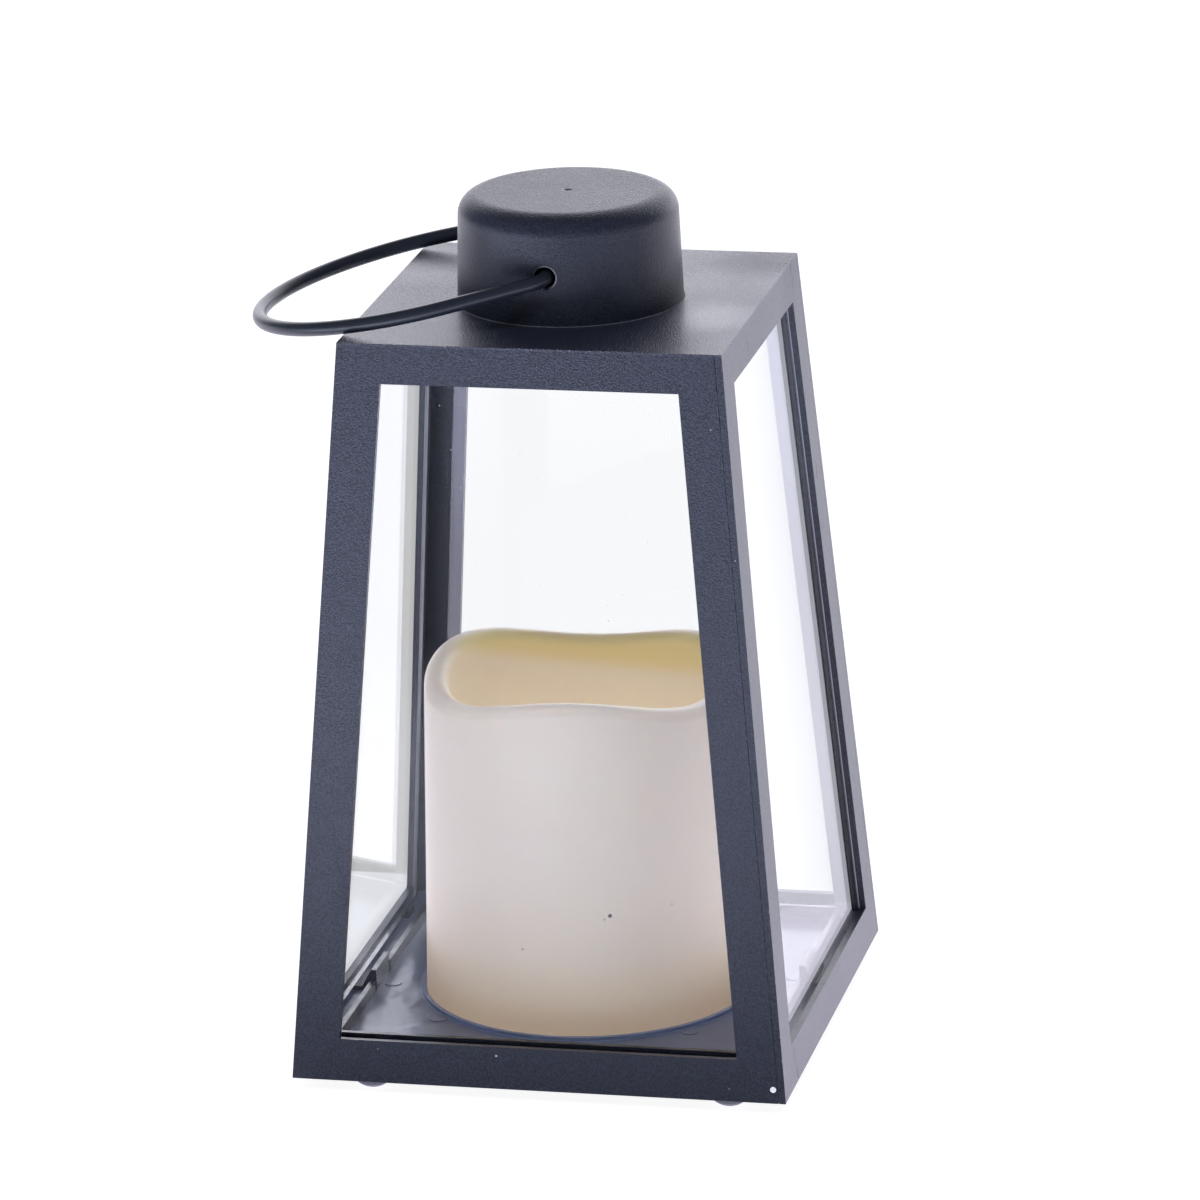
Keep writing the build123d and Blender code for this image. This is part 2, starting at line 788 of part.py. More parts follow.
# Every node by name
nodes = {}
for side, piece in zip(sides, around(side_panel())):
    nodes["side_panel_" + side] = piece
for side, piece in zip(sides, around(glass_pane())):
    nodes["glass_pane_" + side] = piece
nodes["top_plate"] = top_plate()
nodes["cap"] = cap()
nodes["cap_screws"] = screw_group(cap_screw_places, plate_under)
nodes["bail_handle"] = bail_handle()
nodes["base_tray"] = base_tray()
nodes["bumper_feet"] = bumper_feet()
nodes["candle_shell"] = candle_shell()
nodes["candle_screws"] = screw_group(candle_screw_places, floor_under)
for row, name in ((-1, "front"), (0, "middle"), (1, "back")):
    nodes["battery_" + name] = placed_cell(row)
nodes["contact_positive"] = contact(1, [-1])
nodes["contact_link_left"] = contact(-1, [-1, 0])
nodes["contact_link_right"] = contact(1, [0, 1])
nodes["contact_negative"] = contact(-1, [1])
nodes["battery_door"] = battery_door()
nodes["led_board"] = led_board()
nodes["led_lamp"] = led_lamp()
nodes["resistor"] = resistor()
nodes["switch_body"] = switch_body()
nodes["switch_slider"] = switch_slider()

os.makedirs("parts", exist_ok=True)
for name, piece in nodes.items():
    export_step(Pos(0, 0, foot_height) * piece, "parts/" + name + ".step")
print("bail droop", round(bail_droop(), 3), "pivot height", pivot_z + foot_height)
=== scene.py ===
import math

import bmesh
import bpy
from mathutils import Matrix, Vector


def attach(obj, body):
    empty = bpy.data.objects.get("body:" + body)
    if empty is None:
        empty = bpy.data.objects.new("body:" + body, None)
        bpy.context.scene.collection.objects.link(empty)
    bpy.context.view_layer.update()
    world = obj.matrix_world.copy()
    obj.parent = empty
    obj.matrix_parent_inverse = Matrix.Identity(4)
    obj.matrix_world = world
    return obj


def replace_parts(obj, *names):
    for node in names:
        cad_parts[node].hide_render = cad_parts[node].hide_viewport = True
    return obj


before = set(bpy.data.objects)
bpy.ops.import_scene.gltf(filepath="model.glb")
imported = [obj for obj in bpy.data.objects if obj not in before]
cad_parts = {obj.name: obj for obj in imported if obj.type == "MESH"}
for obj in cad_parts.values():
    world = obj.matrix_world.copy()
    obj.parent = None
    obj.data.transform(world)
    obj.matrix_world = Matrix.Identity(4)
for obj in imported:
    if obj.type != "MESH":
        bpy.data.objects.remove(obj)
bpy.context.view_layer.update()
scene = bpy.context.scene
MM = 0.001

# Sizes of the lantern that the finishes and added pieces refer to, in metres
FOOT_HEIGHT = 3.6 * MM
BASE_HALF = 70.0 * MM
TOP_HALF = 53.4 * MM
BODY_HEIGHT = 208.5 * MM
TAPER = (BASE_HALF - TOP_HALF) / BODY_HEIGHT
LEAN = math.atan(TAPER)
WALL = 2.0 * MM
PANE_INNER = 4.11 * MM
PLATE_UNDER = FOOT_HEIGHT + 206.5 * MM
PLATE_TOP = FOOT_HEIGHT + BODY_HEIGHT
CAP_RADIUS = 31.4 * MM
CAP_TOP = PLATE_TOP + 30.6 * MM
CAP_SCREW_CIRCLE = 24.0 * MM
BAIL_PIVOT = PLATE_TOP + 13.7 * MM
BAIL_HOLE = 2.9 * MM
FLOOR_UNDER = FOOT_HEIGHT + 5.0 * MM
FLOOR_TOP = FOOT_HEIGHT + 7.0 * MM
SEAT_RING_RADIUS = 47.6 * MM
CANDLE_HEIGHT = 93.6 * MM
CANDLE_SCREW_CIRCLE = 41.5 * MM
CUP_RADIUS = 37.6 * MM
# Heights and slope of the painted shadow edge across the cup's back wall
CUP_SHADOW_EDGE = (99.2 * MM, 92.6 * MM)
CUP_SHADOW_EDGE_SLOPE = (0.057, 0.353)
DOOR_UNDER = FOOT_HEIGHT + 0.4 * MM
SIDES = ("front", "right", "back", "left")


class Field:
    """A node's output; arithmetic on it adds Math nodes."""

    def __init__(self, tree, socket):
        self.tree = tree
        self.socket = socket

    def maths(self, operation, *values):
        return self.tree.node("ShaderNodeMath", {"operation": operation}, dict(enumerate(values)))

    def __add__(self, other):
        return self.maths("ADD", self, other)

    def __radd__(self, other):
        return self.maths("ADD", other, self)

    def __sub__(self, other):
        return self.maths("SUBTRACT", self, other)

    def __rsub__(self, other):
        return self.maths("SUBTRACT", other, self)

    def __mul__(self, other):
        return self.maths("MULTIPLY", self, other)

    def __truediv__(self, other):
        return self.maths("DIVIDE", self, other)

    def __pow__(self, other):
        return self.maths("POWER", self, other)

    def __neg__(self):
        return self.maths("MULTIPLY", self, -1.0)

    def __abs__(self):
        return self.maths("ABSOLUTE", self)

    def lower(self, other):
        """The lesser of two values."""
        return self.maths("MINIMUM", self, other)

    def higher(self, other):
        """The greater of two values."""
        return self.maths("MAXIMUM", self, other)

    def ease(self, start, end):
        """0 at start, 1 at end, eased between; start may lie above end."""
        settings = {"interpolation_type": "SMOOTHSTEP"}
        if start <= end:
            return self.tree.node("ShaderNodeMapRange", settings, {0: self, 1: start, 2: end})
        return 1 - self.tree.node("ShaderNodeMapRange", settings, {0: self, 1: end, 2: start})

    def band(self, middle, half, soft):
        """1 within half a width of a value, easing to 0 over a soft edge."""
        return abs(self - middle).ease(half + soft, half)


def strongest(fields):
    """The greatest of several values."""
    most, *others = fields
    for other in others:
        most = most.higher(other)
    return most


class Tree:
    """A node tree that is filled by code."""

    def __init__(self, tree):
        self.nodes = tree.nodes
        self.links = tree.links
        self.nodes.clear()

    def node(self, kind, settings=None, inputs=None, output=0):
        """Adds a node, sets it up, fills or links its sockets and returns one of its outputs."""
        made = self.nodes.new(kind)
        for name, value in (settings or {}).items():
            if name == "stops":
                self.set_stops(made.color_ramp, value)
            else:
                setattr(made, name, value)
        for name, value in (inputs or {}).items():
            if isinstance(value, Field):
                self.links.new(value.socket, made.inputs[name])
            else:
                made.inputs[name].default_value = value
        return Field(self, made.outputs[output]) if made.outputs else made

    @staticmethod
    def set_stops(ramp, stops):
        while len(ramp.elements) > 1:
            ramp.elements.remove(ramp.elements[-1])
        for index, (place, colour) in enumerate(stops):
            element = ramp.elements[0] if index == 0 else ramp.elements.new(place)
            element.position = place
            element.color = (*colour, 1)

    def xyz(self, vector):
        """The three parts of a vector."""
        made = self.node("ShaderNodeSeparateXYZ", inputs={0: vector}).socket.node
        return [Field(self, socket) for socket in made.outputs]

    def vector(self, x, y, z):
        """A vector from its three parts."""
        return self.node("ShaderNodeCombineXYZ", inputs={0: x, 1: y, 2: z})


class Finish(Tree):
    """The node tree of one material or of the surroundings."""

    def __init__(self, owner):
        self.owner = owner
        owner.use_nodes = True
        super().__init__(owner.node_tree)

    def place(self):
        """Position on the piece, in the lantern's own frame."""
        return self.node("ShaderNodeTexCoord", output="Object")

    def noise(self, scale, detail=2.0, roughness=0.5, at=None):
        """Cloudy noise from 0 to 1 around 0.5, with features of about 1/scale metres."""
        inputs = {
            "Vector": at or self.place(), "Scale": scale, "Detail": detail, "Roughness": roughness,
        }
        return self.node("ShaderNodeTexNoise", inputs=inputs)

    def specks(self, scale, size):
        """Sparse round specks, one in each cell of the pattern that is drawn."""
        inputs = {"Vector": self.place(), "Scale": scale}
        distance = self.node("ShaderNodeTexVoronoi", inputs=inputs)
        return distance.ease(size, 0.5 * size)

    def stretched(self, scales):
        """Position with each axis scaled on its own, for streaks."""
        return self.node("ShaderNodeMapping", inputs={"Vector": self.place(), "Scale": scales})

    def mix(self, amount, first, second):
        """From one colour to another."""
        made = self.nodes.new("ShaderNodeMix")
        made.data_type = "RGBA"
        sockets = made.inputs[0], made.inputs[6], made.inputs[7]
        for socket, value in zip(sockets, (amount, first, second)):
            if isinstance(value, Field):
                self.links.new(value.socket, socket)
            elif isinstance(value, tuple):
                socket.default_value = (*value, 1)
            else:
                socket.default_value = value
        return Field(self, made.outputs[2])

    def ramp(self, value, stops):
        """Colour by value between stops."""
        return self.node("ShaderNodeValToRGB", {"stops": stops}, {0: value})

    def spot(self, centre, radius, soft):
        """A round spot about a point; all sizes in millimetres, heights over the panels' bottom edges."""
        point = Vector(centre) * MM + Vector((0, 0, FOOT_HEIGHT))
        ends = {0: self.place(), 1: point}
        away = self.node("ShaderNodeVectorMath", {"operation": "DISTANCE"}, ends, "Value")
        return away.ease((radius + soft) * MM, radius * MM)

    def spots(self, places):
        """Several spots, given as centre, radius, soft edge and strength."""
        return strongest([self.spot(*place) * strength for *place, strength in places])

    def bump(self, height, depth):
        """Normal that follows a height field of so many metres."""
        return self.node("ShaderNodeBump", inputs={"Height": height, "Distance": depth, "Strength": 1.0})

    def surface(self, **inputs):
        """Closes the tree with one principled shader; underscores stand for spaces."""
        named = {}
        for name, value in inputs.items():
            is_colour = isinstance(value, tuple) and len(value) == 3 and "Color" in name
            named[name.replace("_", " ")] = (*value, 1) if is_colour else value
        shader = self.node("ShaderNodeBsdfPrincipled", inputs=named)
        self.node("ShaderNodeOutputMaterial", inputs={"Surface": shader})
        return self.owner


class Shape(Tree):
    """A Geometry Nodes tree with named sizes, realized as a plain mesh piece."""

    KINDS = {float: "NodeSocketFloat", int: "NodeSocketInt"}

    def __init__(self, name, **sizes):
        self.name = name
        self.group = bpy.data.node_groups.new(name, "GeometryNodeTree")
        super().__init__(self.group)
        interface = self.group.interface
        interface.new_socket("Geometry", in_out="OUTPUT", socket_type="NodeSocketGeometry")
        seats = interface.new_socket("Seats", in_out="INPUT", socket_type="NodeSocketGeometry")
        self.values = {}
        for label, value in sizes.items():
            socket = interface.new_socket(label, in_out="INPUT", socket_type=self.KINDS[type(value)])
            self.values[socket.identifier] = value
        entry = self.nodes.new("NodeGroupInput")
        self.seats = Field(self, entry.outputs[seats.name])
        self.size = {label: Field(self, entry.outputs[label]) for label in sizes}

    def moved(self, geometry, shift=(0, 0, 0), turn=(0, 0, 0)):
        """Geometry turned and shifted."""
        inputs = {"Geometry": geometry, "Translation": shift, "Rotation": turn}
        return self.node("GeometryNodeTransform", inputs=inputs)

    def joined(self, *parts):
        """Several geometries as one."""
        made = self.nodes.new("GeometryNodeJoinGeometry")
        for part in parts:
            self.links.new(part.socket, made.inputs[0])
        return Field(self, made.outputs[0])

    def reshaped(self, geometry, position):
        """Geometry with each point at a new position."""
        return self.node("GeometryNodeSetPosition", inputs={"Geometry": geometry, "Position": position})

    def random(self, low, high, seed):
        """A different vector on each point."""
        settings = {"data_type": "FLOAT_VECTOR"}
        return self.node("FunctionNodeRandomValue", settings, {0: low, 1: high, "Seed": seed})

    def piece(self, geometry, material, seats=()):
        """Ends the tree and turns what it makes into a mesh piece of the lantern."""
        plain = self.node("GeometryNodeRealizeInstances", inputs={0: geometry})
        dressed = self.node("GeometryNodeSetMaterial", inputs={"Geometry": plain, "Material": material})
        self.node("NodeGroupOutput", inputs={0: dressed})
        mesh = bpy.data.meshes.new(self.name)
        mesh.from_pydata(seats, [], [])
        carrier = bpy.data.objects.new(self.name, mesh)
        scene.collection.objects.link(carrier)
        modifier = carrier.modifiers.new(self.name, "NODES")
        modifier.node_group = self.group
        for identifier, value in self.values.items():
            modifier[identifier] = value
        evaluated = carrier.evaluated_get(bpy.context.evaluated_depsgraph_get())
        made = bpy.data.meshes.new_from_object(evaluated)
        carrier.modifiers.remove(modifier)
        carrier.data = made
        return carrier


def finish_named(name):
    """A new empty finish."""
    return Finish(bpy.data.materials.new(name))


def body_planes(finish):
    """Distances inwards from the front, right, back and left faces, and the height over their foot."""
    x, y, z = finish.xyz(finish.place())
    height = z - FOOT_HEIGHT
    half = BASE_HALF - height * TAPER
    return (half + y, half - x, half - y, half + x), height


# Colours of the finishes, as linear red, green and blue
PLASTIC_SHADE = (0.0105, 0.0126, 0.0200)
PLASTIC_DEEP = (0.0125, 0.0146, 0.0232)
PLASTIC = (0.0255, 0.0295, 0.0455)
PLASTIC_PALE = (0.0415, 0.0475, 0.0725)
# Pale wear and lint, also used for painted highlights on arrises, hole rims and the gate mark
PLASTIC_WEAR_AND_GLINT = (0.34, 0.34, 0.37)
SEAM_DARK = (0.0008, 0.0008, 0.0012)
EDGE_GLINT = (0.60, 0.60, 0.70)
LINT_PALE = (0.80, 0.79, 0.78)
TRAY_PAINTED_REFLECTION = (0.28, 0.34, 0.52)
GLASS_CLEAR = (0.992, 0.997, 0.995)
GLASS_HAZE = (0.985, 0.993, 0.990)
# The cup: a painted shadow over the upper part and the lower part painted lit, both with a painted glow;
# a painted light on the rim's top
CUP_SHADED = (0.90, 0.78, 0.41)
CUP_LIT = (0.95, 0.865, 0.75)
CUP_SHADED_GLOW = (0.112, 0.098, 0.050)
CUP_LIT_GLOW = (0.142, 0.112, 0.070)
RIM_PAINTED_LIGHT = (0.17, 0.155, 0.15)
FLECK_DARK = (0.04, 0.035, 0.03)
NO_GLOW = (0.0, 0.0, 0.0)
BAIL_BLACK = (0.012, 0.015, 0.021)
BAIL_GREY = (0.019, 0.023, 0.031)
RUBBER_DARK = (0.30, 0.28, 0.32)
RUBBER_PALE = (0.38, 0.36, 0.40)
NICKEL = (0.66, 0.65, 0.62)
NICKEL_DULL = (0.40, 0.37, 0.33)
SLEEVE_DARK = (0.016, 0.017, 0.019)
SLEEVE_COPPER = (0.45, 0.22, 0.10)
CELL_METAL = (0.62, 0.61, 0.58)
MASK_GREEN = (0.020, 0.120, 0.045)
MASK_TRACK = (0.045, 0.190, 0.075)
EPOXY_CORE = (0.95, 0.72, 0.30)
EPOXY_SKIN = (0.92, 0.84, 0.62)
LACQUER_TAN = (0.55, 0.38, 0.20)
LACQUER_RING = (0.20, 0.045, 0.030)
TINNED_LEAD = (0.62, 0.62, 0.62)
DUST_TONES = (0.30, 0.29, 0.28), (0.05, 0.05, 0.06)
PAINT_TONES = (0.92, 0.90, 0.88), (0.86, 0.84, 0.82)
LINT_TONES = (0.95, 0.94, 0.92), (0.70, 0.69, 0.67)
# Painted glow that keeps the lint and the paint dot bright white
LINT_PAINTED_GLOW = 0.35

# The candle's colour, warmer and darker at the foot, partly as painted shade, and a painted glow that
# stands in for the light coming through its shell, from foot to rim
CANDLE_COLOURS = [
    (0.0, (0.92, 0.71, 0.46)),
    (0.03, (0.94, 0.77, 0.55)),
    (0.14, (0.94, 0.81, 0.64)),
    (0.34, (0.94, 0.81, 0.65)),
    (0.6, (0.91, 0.79, 0.64)),
    (1.0, (0.87, 0.76, 0.61)),
]
CANDLE_PAINTED_GLOW = [
    (0.0, (0.190, 0.138, 0.096)),
    (0.12, (0.165, 0.125, 0.095)),
    (0.35, (0.100, 0.080, 0.073)),
    (0.65, (0.050, 0.042, 0.040)),
    (1.0, (0.020, 0.018, 0.016)),
]

# Refractive indices
PLASTIC_IOR = 1.42
GLASS_IOR = 1.18
WAX_IOR = 1.45
PAINT_IOR = 1.45

# Spots on the surfaces, in millimetres: centre, radius, soft edge, strength
PANEL_LINT = (
    ((-11.6, -69.2, 9.6), 0.22, 0.15, 1.0),
    ((50.4, -55.0, 187.9), 0.15, 0.12, 0.35),
    ((-45.3, -69.2, 9.8), 0.15, 0.12, 0.35),
    ((54.1, -69.7, 3.7), 0.15, 0.12, 0.35),
    ((56.8, -57.9, 152.1), 0.15, 0.12, 0.35),
)
PLATE_WIPED = (
    ((43.0, -16.0, 208.5), 3.0, 16.0, 1.0),
    ((-46.0, 28.0, 208.5), 6.0, 20.0, 1.0),
)
PLATE_DULL = (((46.0, 43.0, 208.5), 5.0, 18.0, 1.0),)
CANDLE_FLECKS = (
    ((15.9, -43.0, 42.8), 0.45, 0.2, 1.0),
    ((14.4, -43.5, 41.8), 0.22, 0.2, 0.6),
    ((31.4, -33.4, 43.5), 0.22, 0.2, 0.6),
    ((-8.8, -45.2, 32.5), 0.22, 0.2, 0.6),
    ((-31.7, -32.2, 69.0), 0.22, 0.2, 0.6),
)


def plastic_grain(finish):
    """Fine spark-eroded grain of the mould."""
    return finish.noise(1650.0, 1.0) * 0.7 + finish.noise(3300.0, 0.0) * 0.3


def plastic_colour(finish, grain):
    """Dark blue-grey that follows the grain, with faint clouds and stray pale specks."""
    drawn_out = finish.stretched((1.0, 1.0, 0.25))
    cloud = finish.noise(38.0, 3.0) * 0.5 + finish.noise(9.0, at=drawn_out) * 0.5
    colour = finish.mix(grain.ease(0.38, 0.62), PLASTIC_DEEP, PLASTIC_PALE)
    colour = finish.mix(cloud.ease(0.3, 0.7) * 0.4, colour, PLASTIC)
    speck = finish.specks(420.0, 0.085) * finish.noise(70.0).ease(0.56, 0.66)
    return finish.mix(speck * 0.45, colour, PLASTIC_WEAR_AND_GLINT)


def corner_seams(finish, planes, height):
    """Broken dark line where each panel butts against the next, below the plate."""
    lines = [
        corner.band(WALL, 0.05 * MM, 0.13 * MM) * face.ease(0.5 * MM, 0.2 * MM)
        for face, corner in zip(planes, planes[1:] + planes[:1])
    ]
    broken = finish.noise(520.0).ease(0.40, 0.52)
    return strongest(lines) * broken * height.ease(BODY_HEIGHT, BODY_HEIGHT - 1.0 * MM)


def post_glint(near, far, height):
    """Painted glint: a pale line along the inner edges of the posts."""
    middle, half = 11.1 * MM, 1.7 * MM
    line = near.band(WALL, 0.15 * MM, 0.10 * MM) * far.band(middle, half, 0.1 * MM)
    return line * height.ease(8.0 * MM, 9.0 * MM) * height.ease(202.0 * MM, 201.0 * MM)


def arris_wear_and_glint(finish, near, far, height):
    """Pale crumbs on the corners and along the top and bottom edges: wear, and in part a painted
    highlight where the arrises catch the light.
    """
    crumbs = finish.noise(1500.0).ease(0.60, 0.67) * finish.noise(60.0).ease(0.44, 0.56)
    corner = far.ease(0.40 * MM, 0.10 * MM) * 0.45
    top = height.band(BODY_HEIGHT, 0.12 * MM, 0.3 * MM) * near.ease(0.8 * MM, 0.2 * MM)
    foot = height.ease(0.5 * MM, 0.1 * MM) * near.ease(0.6 * MM, 0.2 * MM) * 0.35
    return (strongest([corner, top, foot]) * crumbs).lower(1.0)


def panel_plastic():
    """Grained plastic of the panels and the top plate, with seams, wear, lint, painted glints on the
    posts and arrises, and a wiped top.
    """
    finish = finish_named("panel_plastic")
    grain = plastic_grain(finish)
    planes, height = body_planes(finish)
    across, along = planes[1].lower(planes[3]), planes[0].lower(planes[2])
    near, far = across.lower(along), across.higher(along)
    seam = corner_seams(finish, planes, height)
    colour = plastic_colour(finish, grain)
    colour = finish.mix(seam * 0.85, colour, SEAM_DARK)
    colour = finish.mix(post_glint(near, far, height) * 0.9, colour, EDGE_GLINT)
    colour = finish.mix(arris_wear_and_glint(finish, near, far, height), colour, PLASTIC_WEAR_AND_GLINT)
    colour = finish.mix(finish.spots(PANEL_LINT), colour, LINT_PALE)
    top = height.ease(BODY_HEIGHT - 0.6 * MM, BODY_HEIGHT - 0.2 * MM)
    smear = finish.noise(26.0, 3.0) - 0.5
    scuff = finish.noise(220.0, 3.0, 0.6, finish.stretched((1.0, 1.0, 0.2))).ease(0.62, 0.74)
    rough = 0.38 + smear * (0.08 + top * 0.30) + (grain - 0.5) * (0.25 + top * 0.35)
    sparkle = grain.ease(0.50, 0.60) * 0.30
    gloss = 0.12 + top * (sparkle + finish.spots(PLATE_WIPED) * 0.26 + smear * 0.20)
    return finish.surface(
        Base_Color=colour, Roughness=rough + scuff * (1 - top) * 0.12, IOR=PLASTIC_IOR,
        Coat_Weight=gloss * (1 - finish.spots(PLATE_DULL) * 0.9), Coat_Roughness=0.25,
        Normal=finish.bump(grain * (1 + top) - seam * 0.5, 0.16 * MM),
    )


def cap_plastic():
    """Grained plastic of the cap, darkened as painted shade, with painted highlights round the bail holes
    and on the near rim of the gate mark.
    """
    finish = finish_named("cap_plastic")
    grain = plastic_grain(finish)
    x, y, z = finish.xyz(finish.place())
    lift = z - BAIL_PIVOT
    from_hole = (x * x + lift * lift) ** 0.5
    from_axis = (x * x + y * y) ** 0.5
    # Painted highlight on the chamfers round the bail holes
    rim = from_hole.band(BAIL_HOLE + 0.25 * MM, 0.16 * MM, 0.12 * MM) * abs(y).ease(25.0 * MM, 27.0 * MM)
    rim = rim * finish.noise(260.0).ease(0.40, 0.60)
    lid = z.ease(CAP_TOP - 3.6 * MM, CAP_TOP - 0.6 * MM)
    # Painted highlight: a bright crescent on the near rim of the gate mark
    gate_glint = from_axis.band(1.3 * MM, 0.2 * MM, 0.3 * MM) * z.ease(CAP_TOP - 2.6 * MM, CAP_TOP - 1.6 * MM)
    gate_glint = gate_glint * (x * 0.8 + y).ease(0.9 * MM, -1.2 * MM)
    # Painted shade: the cap's plastic darkened halfway towards a deeper shade
    colour = finish.mix(0.5, plastic_colour(finish, grain), PLASTIC_SHADE)
    colour = finish.mix((rim * 0.75).higher(gate_glint), colour, PLASTIC_WEAR_AND_GLINT)
    cloud = (finish.noise(30.0, 3.0) - 0.5) * 0.08
    return finish.surface(
        Base_Color=colour, Roughness=0.38 + lid * 0.06 + cloud + (grain - 0.5) * (0.25 + lid * 0.35),
        IOR=PLASTIC_IOR, Normal=finish.bump(grain * (1 + lid * 1.6), 0.12 * MM),
        Coat_Weight=grain.ease(0.50, 0.60) * (0.04 + lid * 0.22), Coat_Roughness=0.25,
    )


def small_plastic():
    """The same plastic on the battery door and the switch knob."""
    finish = finish_named("small_plastic")
    grain = plastic_grain(finish)
    return finish.surface(
        Base_Color=plastic_colour(finish, grain), Roughness=0.30 + (grain - 0.5) * 0.10,
        IOR=PLASTIC_IOR, Normal=finish.bump(grain, 0.12 * MM),
    )


def tray_plastic():
    """The same plastic with a glossy, slightly wavy floor, lightened by a painted bluish reflection,
    strongest on the seat ring.
    """
    finish = finish_named("tray_plastic")
    scuff = finish.noise(600.0, 4.0, 0.7, finish.stretched((1.0, 0.15, 1.0))).ease(0.56, 0.75)
    lint = finish.specks(330.0, 0.06) * finish.noise(90.0).ease(0.52, 0.60)
    x, y, z = finish.xyz(finish.place())
    from_axis = (x * x + y * y) ** 0.5
    ring = from_axis.band(SEAT_RING_RADIUS, 1.2 * MM, 0.2 * MM) * z.ease(FLOOR_TOP - 0.4 * MM, FLOOR_TOP)
    # Painted reflection: a pale bluish cast on the floor and the seat ring
    painted_reflection = z.band(FLOOR_TOP, 0.2 * MM, 0.2 * MM) * (0.36 + finish.noise(60.0, 3.0) * 0.2)
    colour = finish.mix(scuff * 0.3, PLASTIC, PLASTIC_PALE)
    colour = finish.mix(painted_reflection.higher(ring * 0.9), colour, TRAY_PAINTED_REFLECTION)
    colour = finish.mix(lint * 0.5, colour, PLASTIC_WEAR_AND_GLINT)
    return finish.surface(
        Base_Color=colour, Roughness=0.20 + scuff * 0.06 + finish.noise(90.0, 3.0) * 0.06,
        IOR=PLASTIC_IOR, Normal=finish.bump(finish.noise(70.0), 0.8 * MM),
    )


def clear_glass():
    """Clear float glass with a trace of green."""
    finish = finish_named("pane_glass")
    tint = finish.mix(finish.noise(40.0), GLASS_CLEAR, GLASS_HAZE)
    return finish.surface(Base_Color=tint, Roughness=0.0, IOR=GLASS_IOR, Transmission_Weight=1.0)


def candle_wax():
    """Waxy ivory plastic, warmer and darker towards the foot, partly as painted shade; the cup's upper
    part yellower as a painted shadow, with a painted glow and a painted light on the rim's top.
    """
    finish = finish_named("candle_ivory")
    x, y, z = finish.xyz(finish.place())
    facing_up = finish.xyz(finish.node("ShaderNodeTexCoord", output="Normal"))[2]
    radius = (x * x + y * y) ** 0.5
    up = (z - FLOOR_TOP) / CANDLE_HEIGHT
    cloud = finish.noise(30.0, 3.0) - 0.5
    inside = radius.ease(CUP_RADIUS + 3.8 * MM, CUP_RADIUS + 0.8 * MM)
    # Painted shadow: the upper part of the cup's back wall is shaded below the top rail, the lower part
    # is painted lit
    along, across = CUP_SHADOW_EDGE_SLOPE
    lit_below_shadow = (z - FLOOR_TOP + x * along + abs(y) * across).ease(*CUP_SHADOW_EDGE)
    outer = finish.ramp((up + cloud * 0.03).ease(0.0, 1.0), CANDLE_COLOURS)
    colour = finish.mix(inside, outer, finish.mix(lit_below_shadow, CUP_SHADED, CUP_LIT))
    # Painted glow in place of the light that comes through the thin shell
    glow = finish.ramp(up, CANDLE_PAINTED_GLOW)
    glow = finish.mix(inside, glow, finish.mix(lit_below_shadow, CUP_SHADED_GLOW, CUP_LIT_GLOW))
    # Painted light on the top of the rim, where it faces up
    rim = facing_up.ease(0.1, 0.9) * up.ease(0.8, 0.9) * (1 - inside)
    glow = finish.mix(rim, glow, RIM_PAINTED_LIGHT)
    fleck = finish.spots(CANDLE_FLECKS) * 0.9
    return finish.surface(
        Base_Color=finish.mix(fleck, colour, FLECK_DARK), Roughness=0.42 + cloud * 0.12, IOR=WAX_IOR,
        Normal=finish.bump(finish.noise(400.0), 0.05 * MM), Subsurface_Weight=0.35,
        Subsurface_Radius=(1.0, 0.75, 0.45), Subsurface_Scale=4.0 * MM,
        Emission_Color=finish.mix(fleck, glow, NO_GLOW), Emission_Strength=1.0,
    )


def bail_paint():
    """Black satin coating over wire, with a slight orange-peel."""
    finish = finish_named("bail_paint")
    peel = finish.noise(900.0)
    return finish.surface(
        Base_Color=finish.mix(finish.noise(120.0, 3.0), BAIL_BLACK, BAIL_GREY),
        Roughness=0.32 + peel * 0.08, IOR=PAINT_IOR, Normal=finish.bump(peel, 0.03 * MM),
    )


def soft_rubber():
    """Milky grey soft plastic of the dome feet."""
    finish = finish_named("foot_rubber")
    cloud = finish.noise(500.0, 3.0)
    return finish.surface(
        Base_Color=finish.mix(cloud, RUBBER_DARK, RUBBER_PALE), Roughness=0.25 + cloud * 0.1,
        Subsurface_Weight=0.3, Subsurface_Radius=(1.0, 1.0, 1.0), Subsurface_Scale=1.5 * MM,
    )


def plated_steel():
    """Bright nickel plating with faint drawing lines."""
    finish = finish_named("plated_steel")
    lines = finish.noise(1500.0, at=finish.stretched((1.0, 1.0, 0.05)))
    tarnish = finish.noise(200.0, 3.0).ease(0.5, 0.75)
    colour = finish.mix(tarnish * 0.5, NICKEL, NICKEL_DULL)
    return finish.surface(Base_Color=colour, Metallic=1.0, Roughness=0.22 + lines * 0.18)


def cell_sleeve():
    """Plain cell sleeve: dark body, copper-toned band at the nub end, bare metal ends."""
    finish = finish_named("cell_sleeve")
    x, y, _ = finish.xyz(finish.place())
    middle_row = y.band(0.0, 5.0 * MM, 0.4 * MM)
    along = x * (1 - middle_row * 2)
    band = along.ease(11.0 * MM, 11.2 * MM)
    bare = along.ease(22.9 * MM, 23.1 * MM).higher(along.ease(-20.2 * MM, -20.4 * MM))
    colour = finish.mix(band, SLEEVE_DARK, SLEEVE_COPPER)
    colour = finish.mix(bare, colour, CELL_METAL)
    return finish.surface(
        Base_Color=colour, Metallic=band.higher(bare) * 0.9,
        Roughness=0.28 + finish.noise(800.0) * 0.08, Coat_Weight=0.3,
    )


